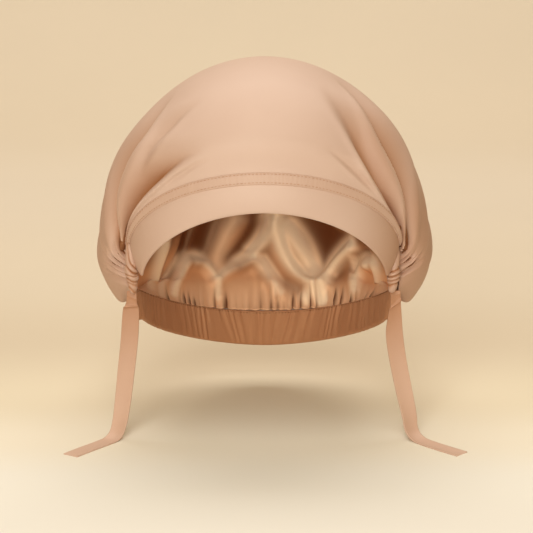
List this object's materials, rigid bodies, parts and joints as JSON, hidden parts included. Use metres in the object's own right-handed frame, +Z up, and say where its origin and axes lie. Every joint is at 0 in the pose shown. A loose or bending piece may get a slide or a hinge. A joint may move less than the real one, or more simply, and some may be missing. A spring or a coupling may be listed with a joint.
{
  "type": "silk bonnet",
  "caption": "Loose gathered silk bonnet with a flat front band, a pleated elastic nape band, a satin lining and two ribbon ties.",
  "frame": {"origin": "midway between the two side gathers, inside the head hollow, where the wearer's head holds the bonnet", "axes": "+X to the viewer's right, the face opening toward -Y, +Z up toward the top of the head"},
  "size_m": [0.2788, 0.2422, 0.2658],
  "materials": {
    "silk": "soft low sheen silk, champagne pink",
    "satin_lining": "glossy satin, golden tan",
    "satin_band": "pleated satin, tan",
    "ribbon": "matt silk ribbon, champagne pink"
  },
  "bodies": {
    "root": {"crown": "silk", "front_casing": "silk", "front_band": "silk", "gather_left": "silk", "gather_right": "silk", "lining": "satin_lining", "nape_band": "satin_band", "tie_left": "ribbon", "tie_right": "ribbon"}
  },
  "joints": []
}
